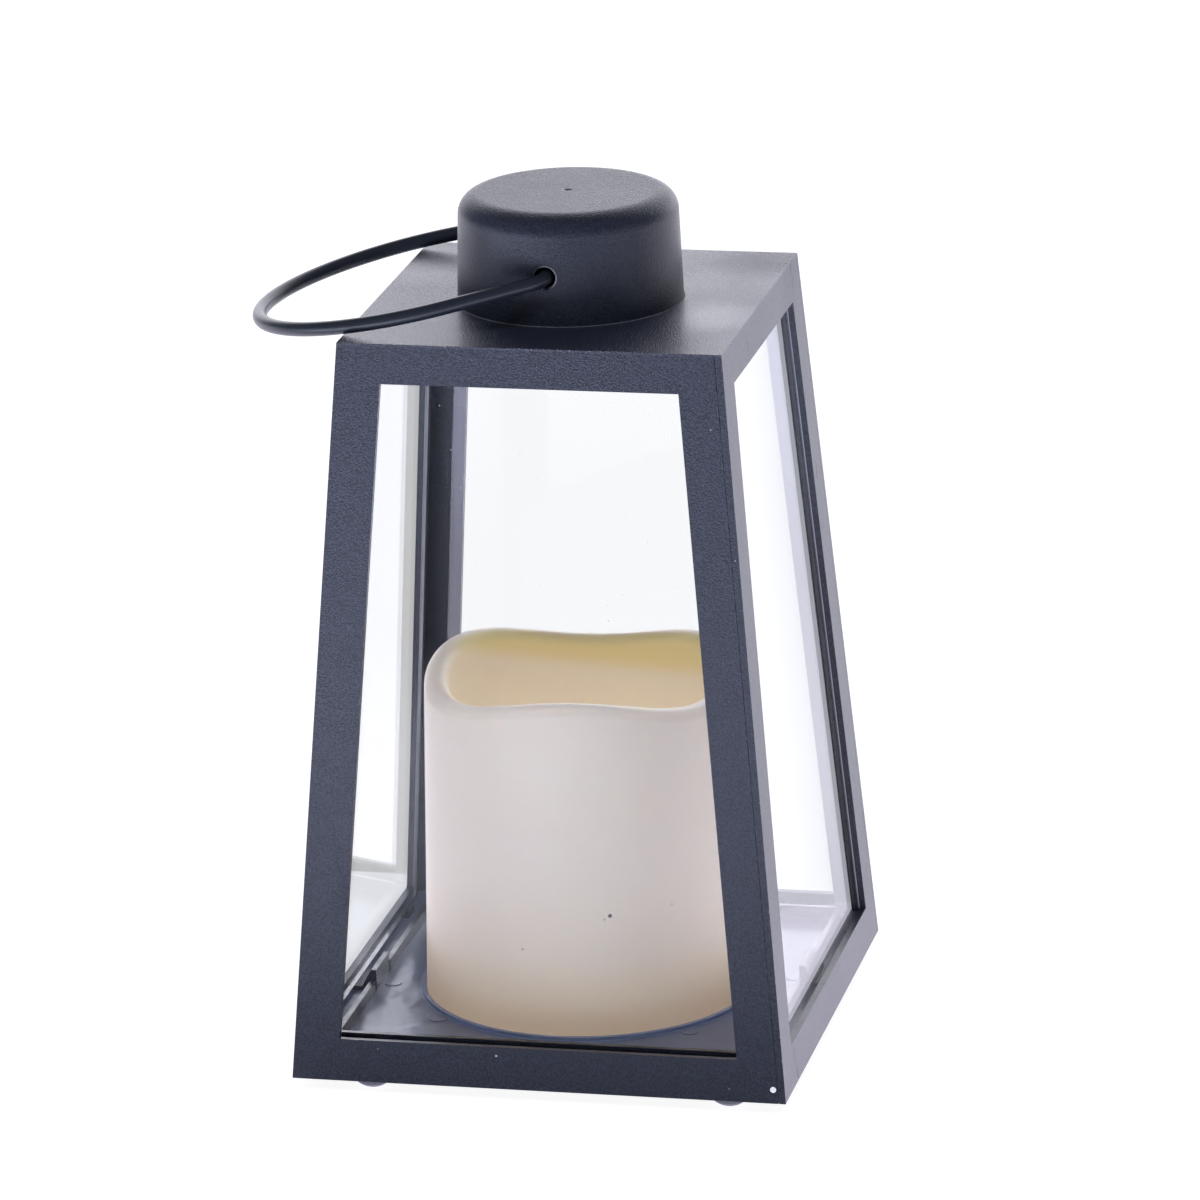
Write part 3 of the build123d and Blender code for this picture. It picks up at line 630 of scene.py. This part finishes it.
def board_laminate():
    """Green circuit board with paler tracks under the mask."""
    finish = finish_named("board_laminate")
    x, y, _ = finish.xyz(finish.place())
    half, soft = 0.5 * MM, 0.1 * MM
    track = abs(y - 4.0 * MM).band(6.0 * MM, half, soft).higher(abs(x).band(9.0 * MM, half, soft))
    weave = finish.noise(900.0)
    return finish.surface(
        Base_Color=finish.mix(track, MASK_GREEN, MASK_TRACK), Roughness=0.30 + weave * 0.12,
        Normal=finish.bump(track + weave * 0.2, 0.06 * MM),
    )


def lamp_epoxy():
    """Amber-tinted epoxy of the lamp."""
    finish = finish_named("lamp_epoxy")
    x, y, _ = finish.xyz(finish.place())
    from_axis = (x * x + y * y) ** 0.5
    return finish.surface(
        Base_Color=finish.mix(from_axis.ease(0.5 * MM, 2.6 * MM), EPOXY_CORE, EPOXY_SKIN),
        Roughness=0.08 + finish.noise(300.0) * 0.05, Subsurface_Weight=0.4,
        Subsurface_Radius=(1.0, 0.8, 0.4), Subsurface_Scale=1.5 * MM,
    )


def resistor_lacquer():
    """Tan lacquer with plain colour rings and tinned leads."""
    finish = finish_named("resistor_lacquer")
    y = finish.xyz(finish.place())[1]
    half, soft = 0.25 * MM, 0.05 * MM
    ring = y.band(-1.7 * MM, half, soft).higher(y.band(0.2 * MM, half, soft))
    lead = abs(y).ease(2.95 * MM, 3.05 * MM)
    colour = finish.mix(ring, LACQUER_TAN, LACQUER_RING)
    colour = finish.mix(lead, colour, TINNED_LEAD)
    return finish.surface(Base_Color=colour, Metallic=lead, Roughness=0.35 + finish.noise(700.0) * 0.1)


def pale_lint(name, tones, glow=0.0):
    """Whitish dust, glue or paint with a slightly uneven tone, and a painted glow where one is given."""
    finish = finish_named(name)
    tone = finish.noise(900.0)
    colour = finish.mix(tone, *tones)
    return finish.surface(
        Base_Color=colour, Roughness=0.7 + tone * 0.2, Emission_Color=colour, Emission_Strength=glow
    )


def dress(nodes, material):
    """Gives CAD nodes a finish."""
    for node in nodes:
        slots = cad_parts[node].data.materials
        slots.clear()
        slots.append(material)


SHARPEST_BEND = math.radians(24)


def smooth_curved_faces(mesh):
    """Shades curved faces smoothly and keeps flat faces and arrises crisp."""
    for polygon in mesh.polygons:
        polygon.use_smooth = True
    mesh.set_sharp_from_angle(angle=SHARPEST_BEND)


def add_piece(piece, body="lantern"):
    """Lets a finished piece move with a body."""
    smooth_curved_faces(piece.data)
    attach(piece, body)
    return piece


def on_circle(radius, first, height):
    """Three places on a level circle, the first at an angle in degrees."""
    turns = [math.radians(first + 120 * index) for index in range(3)]
    return [(radius * math.cos(turn), radius * math.sin(turn), height) for turn in turns]


def crosshead_screws(name, seats, steel):
    """Screws driven upwards into bosses: a domed head with a cross recess, a shank and its thread."""
    shape = Shape(
        name, head_radius=2.6 * MM, head_height=1.7 * MM, recess_width=0.6 * MM,
        recess_length=2.7 * MM, recess_depth=1.1 * MM, core_radius=1.05 * MM, shank_length=11.0 * MM,
        thread_height=0.24 * MM, turns=11.0,
    )
    threaded, plain = 0.92, 0.06
    size = shape.size
    ball = shape.node("GeometryNodeMeshUVSphere", inputs={"Segments": 32, "Rings": 20, "Radius": 1.0})
    x, y, z = shape.xyz(shape.node("GeometryNodeInputPosition"))
    out = (x * x + y * y).lower(1.0)
    crown = (1 - out * out) ** 0.5 * (-z).higher(0.0).ease(0.0, 0.02)
    domed = shape.vector(x * size["head_radius"], y * size["head_radius"], -(crown * size["head_height"]))
    head = shape.reshaped(ball, domed)
    low = shape.vector(0.0, 0.0, -size["head_height"])
    slot = shape.vector(size["recess_length"], size["recess_width"], size["recess_depth"] * 2)
    bar = shape.moved(shape.node("GeometryNodeMeshCube", inputs={"Size": slot}), low)
    cross = shape.joined(bar, shape.moved(bar, turn=(0, 0, math.pi / 2)))
    cut = {"operation": "DIFFERENCE"}
    head = shape.node("GeometryNodeMeshBoolean", cut, {"Mesh 1": head, "Mesh 2": cross})
    core = {"Vertices": 20, "Radius": size["core_radius"], "Depth": size["shank_length"]}
    shank = shape.node("GeometryNodeMeshCylinder", inputs=core)
    shank = shape.moved(shank, shape.vector(0.0, 0.0, size["shank_length"] * 0.5))
    helix = {
        "Resolution": 14, "Rotations": size["turns"], "Start Radius": size["core_radius"],
        "End Radius": size["core_radius"], "Height": size["shank_length"] * threaded,
    }
    profile = {"Resolution": 4, "Radius": size["thread_height"]}
    ridge = shape.node("GeometryNodeCurvePrimitiveCircle", inputs=profile)
    path = shape.node("GeometryNodeCurveSpiral", inputs=helix)
    thread = shape.node("GeometryNodeCurveToMesh", inputs={"Curve": path, "Profile Curve": ridge})
    thread = shape.moved(thread, shape.vector(0.0, 0.0, size["shank_length"] * plain))
    screw = shape.joined(head, shank, thread)
    group = shape.node("GeometryNodeInstanceOnPoints", inputs={"Points": shape.seats, "Instance": screw})
    return shape.piece(group, steel, seats)


def cap_foot_bead(lint):
    """Thin uneven line of dust and glue in the corner between cap and top plate."""
    radius = CAP_RADIUS + 0.05 * MM
    shape = Shape("cap_foot_bead", ring_radius=radius, bead_radius=0.16 * MM, unevenness=0.30 * MM)
    size = shape.size
    ring = {"Resolution": 360, "Radius": size["ring_radius"]}
    profile = {"Resolution": 6, "Radius": size["bead_radius"]}
    path = shape.node("GeometryNodeCurvePrimitiveCircle", inputs=ring)
    edge = shape.node("GeometryNodeCurvePrimitiveCircle", inputs=profile)
    bead = shape.node("GeometryNodeCurveToMesh", inputs={"Curve": path, "Profile Curve": edge})
    place = shape.node("GeometryNodeInputPosition")
    clouds = {"Vector": place, "Scale": 210.0, "Detail": 3.0}
    wobble = shape.node("ShaderNodeTexNoise", inputs=clouds) - 0.5
    outward = shape.node("ShaderNodeVectorMath", {"operation": "NORMALIZE"}, {0: place})
    x, y, z = shape.xyz(place)
    out_x, out_y, _ = shape.xyz(outward)
    reach = wobble * size["unevenness"]
    lift = (z + wobble * size["bead_radius"]).lower(size["bead_radius"])
    uneven = shape.vector(x + out_x * reach, y + out_y * reach, lift)
    bead = shape.moved(shape.reshaped(bead, uneven), (0, 0, PLATE_TOP))
    return shape.piece(bead, lint)


DUST_WIDTH = 82.0 * MM
DUST_HEIGHT = 180.0 * MM
DUST_SEED = 11
DUST_COUNTS = (34, 14, 30, 14)


def pane_dust(side, turn, lint, count):
    """Lint and dust that lies on the inner face of a pane."""
    shape = Shape(
        "pane_dust_" + side, width=DUST_WIDTH, height=DUST_HEIGHT,
        density=count / (DUST_WIDTH * DUST_HEIGHT), flake=0.17 * MM,
        seed=DUST_SEED + int(round(turn * 10)),
    )
    size = shape.size
    grid = {"Size X": size["width"], "Size Y": size["height"], "Vertices X": 2, "Vertices Y": 2}
    sheet = shape.node("GeometryNodeMeshGrid", inputs=grid)
    spread = {"Mesh": sheet, "Density": size["density"], "Seed": size["seed"]}
    points = shape.node("GeometryNodeDistributePointsOnFaces", inputs=spread)
    flake = shape.node("GeometryNodeMeshIcoSphere", inputs={"Radius": size["flake"], "Subdivisions": 2})
    smallest, largest = (0.4, 0.4, 0.15), (1.9, 0.9, 0.25)
    sizes = shape.random(smallest, largest, size["seed"])
    turns = shape.random((0.0, 0.0, 0.0), (0.0, 0.0, math.tau), size["seed"] + 1)
    strewn = {"Points": points, "Instance": flake, "Rotation": turns, "Scale": sizes}
    dust = shape.node("GeometryNodeInstanceOnPoints", inputs=strewn)
    middle = FOOT_HEIGHT + 0.5 * BODY_HEIGHT
    off_glass = 0.03 * MM
    from_axis = BASE_HALF - 0.5 * BODY_HEIGHT * TAPER - PANE_INNER - off_glass
    dust = shape.moved(dust, (0, -from_axis, middle), (math.pi / 2 - LEAN, 0, 0))
    return shape.piece(shape.moved(dust, turn=(0, 0, turn)), lint)


def door_grip(plastic):
    """Raised grip ribs at the free end of the battery door."""
    first_rib = 10.0 * MM
    shape = Shape(
        "door_grip_ribs", ribs=5, spacing=2.4 * MM, rib_length=16.0 * MM, rib_radius=0.8 * MM,
        rise=0.3 * MM,
    )
    size = shape.size
    rod = {
        "Vertices": 24, "Side Segments": 1, "Radius": size["rib_radius"], "Depth": size["rib_length"],
    }
    rib = shape.moved(shape.node("GeometryNodeMeshCylinder", inputs=rod), turn=(math.pi / 2, 0, 0))
    row = {"Count": size["ribs"], "Offset": shape.vector(size["spacing"], 0.0, 0.0)}
    line = shape.node("GeometryNodeMeshLine", inputs=row)
    ribs = shape.node("GeometryNodeInstanceOnPoints", inputs={"Points": line, "Instance": rib})
    lift = shape.vector(first_rib, 0.0, size["rib_radius"] - size["rise"] + DOOR_UNDER)
    return shape.piece(shape.moved(ribs, lift), plastic)


def paint_dot(paint):
    """Small white paint dot near the lower right corner of the front."""
    centre_x, centre_z = 66.4 * MM, 4.1 * MM
    radius, rise, sunk = 0.9 * MM, 0.12 * MM, 0.02 * MM
    steps, sectors = 6, 28
    out = Vector((0, -math.cos(LEAN), math.sin(LEAN)))
    up = Vector((0, math.sin(LEAN), math.cos(LEAN)))
    right = Vector((1, 0, 0))
    centre = Vector((centre_x, -(BASE_HALF - centre_z * TAPER), centre_z + FOOT_HEIGHT))
    turns = [math.tau * index / sectors for index in range(sectors)]
    shape = bmesh.new()
    rings = []
    for step in range(steps):
        share = 1 - step / steps
        middle = centre + (rise * (1 - share**4) - sunk) * out
        spokes = [math.cos(turn) * right + math.sin(turn) * up for turn in turns]
        rings.append([shape.verts.new(middle + radius * share * spoke) for spoke in spokes])
    for outer, inner in zip(rings, rings[1:]):
        for index in range(sectors):
            after = (index + 1) % sectors
            shape.faces.new((outer[index], outer[after], inner[after], inner[index]))
    shape.faces.new(rings[-1])
    shape.faces.new(rings[0][::-1])
    bmesh.ops.recalc_face_normals(shape, faces=shape.faces)
    mesh = bpy.data.meshes.new("paint_dot")
    shape.to_mesh(mesh)
    shape.free()
    mesh.materials.append(paint)
    dot = bpy.data.objects.new("paint_dot", mesh)
    scene.collection.objects.link(dot)
    return dot


# The table: light that its zones throw on the lantern, and their tones as seen through the panes
FLOOR_REACH = 4.0
TABLE_EDGE = 0.110
FRONT_NEAR = (0.42, 0.44, 0.55)
FRONT_FAR = (5.30, 5.60, 7.00)
TABLE_SIDE = (1.58, 1.52, 1.78)
TABLE_BEHIND = (1.38, 1.38, 1.56)
TABLE_TONE = (0.3, 0.3, 0.3)
FLOOR_WHITE = (0.92, 0.92, 0.92)
SEEN_LEFT = (0.99, 0.99, 1.03)
SEEN_RIGHT = (0.37, 0.36, 0.42)
SEEN_BEHIND = (0.92, 0.92, 0.935)
SEEN_BEHIND_LEFT = (0.64, 0.63, 0.61)
SEEN_BEHIND_RIGHT = (0.54, 0.54, 0.50)

# Soft limits of these zones, in metres from the lantern's axis
FRONT_RISE = (0.14, 0.42)
FRONT_FALL = (0.86, 0.56)
FRONT_DIMMED = (-0.26, 0.12)
FRONT_DIMMING = 0.60
SIDE_RISE = (0.066, 0.074)
SIDE_FALL = (0.75, 0.40)
SIDE_FRONT = (-0.10, -0.06)
SHADE_RISE = (-0.08, 0.10)
SHADE_FALL = (0.28, 0.18)
SHADE_FRONT = (-0.18, -0.10)
BEHIND_SLANT = 0.2335
BEHIND_LEFT = (-0.066, -0.040)
BEHIND_RIGHT = (0.046, 0.076)

# The room and its bright back wall
ROOM = (0.18, 0.19, 0.24)
BACKDROP = (2.55, 2.55, 2.82)
ROOM_WHITE = (1.0, 1.0, 1.0)
BACKDROP_RISE = (0.55, 0.88)


def seen_through_panes(finish):
    """1 where the eye looks through panes alone."""
    panes = finish.node("ShaderNodeLightPath", output="Transmission Depth").lower(1.0)
    scattered = finish.node("ShaderNodeLightPath", output="Diffuse Depth").lower(1.0)
    mirrored = finish.node("ShaderNodeLightPath", output="Glossy Depth").lower(1.0)
    return panes * (1 - scattered) * (1 - mirrored)


def table_light(finish, x, y, behind):
    """Light that the table throws: bright in front, at a distance, and softer beside and behind."""
    dimmed = x.ease(*FRONT_DIMMED) * FRONT_DIMMING
    far_front = (-y).ease(*FRONT_RISE) * (-y).ease(*FRONT_FALL) * (1 - dimmed)
    beside = abs(x).ease(*SIDE_RISE) * y.ease(*SIDE_FRONT) * abs(x).ease(*SIDE_FALL)
    light = finish.mix(far_front, FRONT_NEAR, FRONT_FAR)
    light = finish.mix(beside, light, TABLE_SIDE)
    return finish.mix(behind, light, TABLE_BEHIND)


def table_in_panes(finish, x, y, behind):
    """Tones of the table and of what lies behind its edge, as seen through the panes."""
    shaded = x.ease(*SHADE_RISE) * x.ease(*SHADE_FALL) * y.ease(*SHADE_FRONT)
    table = finish.mix(shaded, SEEN_LEFT, SEEN_RIGHT)
    aslant = x + y * BEHIND_SLANT
    backdrop = finish.mix(aslant.ease(*BEHIND_LEFT), SEEN_BEHIND_LEFT, SEEN_BEHIND)
    backdrop = finish.mix(aslant.ease(*BEHIND_RIGHT), backdrop, SEEN_BEHIND_RIGHT)
    return finish.mix(behind, table, backdrop)


def pale_floor():
    """Plain floor: white to the eye, a pale table with a back edge where it is seen through the panes."""
    corners = [(-1, -1), (1, -1), (1, 1), (-1, 1)]
    mesh = bpy.data.meshes.new("floor")
    mesh.from_pydata([(x * FLOOR_REACH, y * FLOOR_REACH, 0) for x, y in corners], [], [(0, 1, 2, 3)])
    floor = bpy.data.objects.new("floor", mesh)
    scene.collection.objects.link(floor)
    finish = finish_named("pale_floor")
    x, y, _ = finish.xyz(finish.place())
    behind = y.ease(TABLE_EDGE - 0.5 * MM, TABLE_EDGE + 0.5 * MM)
    direct = finish.node("ShaderNodeLightPath", output="Is Camera Ray")
    through = seen_through_panes(finish)
    glow = finish.mix(through, table_light(finish, x, y, behind), table_in_panes(finish, x, y, behind))
    glow = finish.mix(direct, glow, FLOOR_WHITE)
    base = finish.mix(through, TABLE_TONE, NO_GLOW)
    inputs = {"Base Color": base, "Roughness": 0.9, "Emission Color": glow, "Emission Strength": 1.0}
    top = finish.node("ShaderNodeBsdfPrincipled", inputs=inputs)
    clear = finish.node("ShaderNodeBsdfTransparent")
    below = finish.node("ShaderNodeNewGeometry", output="Backfacing")
    both = finish.node("ShaderNodeMixShader", inputs={0: below, 1: top, 2: clear})
    finish.node("ShaderNodeOutputMaterial", inputs={"Surface": both})
    mesh.materials.append(finish.owner)


def studio_surroundings():
    """White all round for the eye; the light itself comes mostly from a bright back wall."""
    scene.world = bpy.data.worlds.new("studio")
    finish = Finish(scene.world)
    y = finish.xyz(finish.node("ShaderNodeTexCoord", output="Generated"))[1]
    glow = finish.mix(y.ease(*BACKDROP_RISE), ROOM, BACKDROP)
    glow = finish.mix(seen_through_panes(finish), glow, SEEN_BEHIND)
    seen = finish.node("ShaderNodeLightPath", output="Is Camera Ray")
    inputs = {"Color": finish.mix(seen, glow, ROOM_WHITE)}
    shader = finish.node("ShaderNodeBackground", inputs=inputs)
    finish.node("ShaderNodeOutputWorld", inputs={"Surface": shader})


def soft_box(name, place, target, width, height, power, colour):
    """Large soft light aimed at a point, kept out of sight and out of reflections."""
    light = bpy.data.lights.new(name, "AREA")
    light.shape = "RECTANGLE"
    light.size, light.size_y = width, height
    light.energy = power
    light.color = colour
    lamp = bpy.data.objects.new(name, light)
    lamp.location = place
    lamp.rotation_euler = (Vector(target) - Vector(place)).to_track_quat("-Z", "Y").to_euler()
    lamp.visible_camera = False
    lamp.visible_glossy = False
    scene.collection.objects.link(lamp)


# Camera that was fitted to the photograph: degrees, metres and millimetres
CAMERA_AZIMUTH = 12.93
CAMERA_ELEVATION = 17.53
CAMERA_ROLL = -1.68
CAMERA_PLACE = (0.46113, -1.98358, FOOT_HEIGHT + 0.76361)
CAMERA_LENS = 228.69
CAMERA_SENSOR = 36.0


def photo_camera():
    """Camera at the photograph's place."""
    angles = CAMERA_AZIMUTH, CAMERA_ELEVATION, CAMERA_ROLL
    azimuth, elevation, roll = (math.radians(angle) for angle in angles)
    level = Vector((math.cos(azimuth), math.sin(azimuth), 0))
    away = Vector((math.sin(azimuth), -math.cos(azimuth), 0))
    back = math.cos(elevation) * away + Vector((0, 0, math.sin(elevation)))
    up = back.cross(level)
    right = math.cos(roll) * level + math.sin(roll) * up
    camera_up = math.cos(roll) * up - math.sin(roll) * level
    data = bpy.data.cameras.new("photo_camera")
    data.sensor_width = CAMERA_SENSOR
    data.lens = CAMERA_LENS
    camera = bpy.data.objects.new("photo_camera", data)
    turn = Matrix((right, camera_up, back)).transposed().to_4x4()
    camera.matrix_world = Matrix.Translation(CAMERA_PLACE) @ turn
    scene.collection.objects.link(camera)
    scene.camera = camera


dress(["side_panel_" + side for side in SIDES] + ["top_plate"], panel_plastic())
dress(["cap"], cap_plastic())
knob_plastic = small_plastic()
dress(["battery_door", "switch_slider"], knob_plastic)
dress(["base_tray"], tray_plastic())
dress(["glass_pane_" + side for side in SIDES], clear_glass())
dress(["candle_shell"], candle_wax())
dress(["bail_handle"], bail_paint())
dress(["bumper_feet"], soft_rubber())
steel = plated_steel()
dress(
    ["cap_screws", "candle_screws", "contact_positive", "contact_negative", "contact_link_left",
     "contact_link_right", "switch_body"],
    steel,
)
dress(["battery_front", "battery_middle", "battery_back"], cell_sleeve())
dress(["led_board"], board_laminate())
dress(["led_lamp"], lamp_epoxy())
dress(["resistor"], resistor_lacquer())
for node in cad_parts.values():
    smooth_curved_faces(node.data)

cap_seats = on_circle(CAP_SCREW_CIRCLE, 0, PLATE_UNDER)
cap_screws = crosshead_screws("cap_crosshead_screws", cap_seats, steel)
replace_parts(add_piece(cap_screws), "cap_screws")
candle_seats = on_circle(CANDLE_SCREW_CIRCLE, 90, FLOOR_UNDER)
candle_screws = crosshead_screws("candle_crosshead_screws", candle_seats, steel)
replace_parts(add_piece(candle_screws), "candle_screws")
add_piece(door_grip(knob_plastic), "battery_door")
add_piece(cap_foot_bead(pale_lint("pale_dust", DUST_TONES)))
add_piece(paint_dot(pale_lint("white_paint", PAINT_TONES, LINT_PAINTED_GLOW)))
lint = pale_lint("pale_lint", LINT_TONES, LINT_PAINTED_GLOW)
for index, (side, count) in enumerate(zip(SIDES, DUST_COUNTS)):
    add_piece(pane_dust(side, index * math.pi / 2, lint, count))

pale_floor()
studio_surroundings()
soft_box(
    "front_key", place=(-0.15, -1.22, 1.56), target=(0, 0, 0.10), width=1.0, height=0.12, power=10.0,
    colour=(0.84, 0.88, 1.0),
)
photo_camera()
scene.view_settings.view_transform = "Standard"
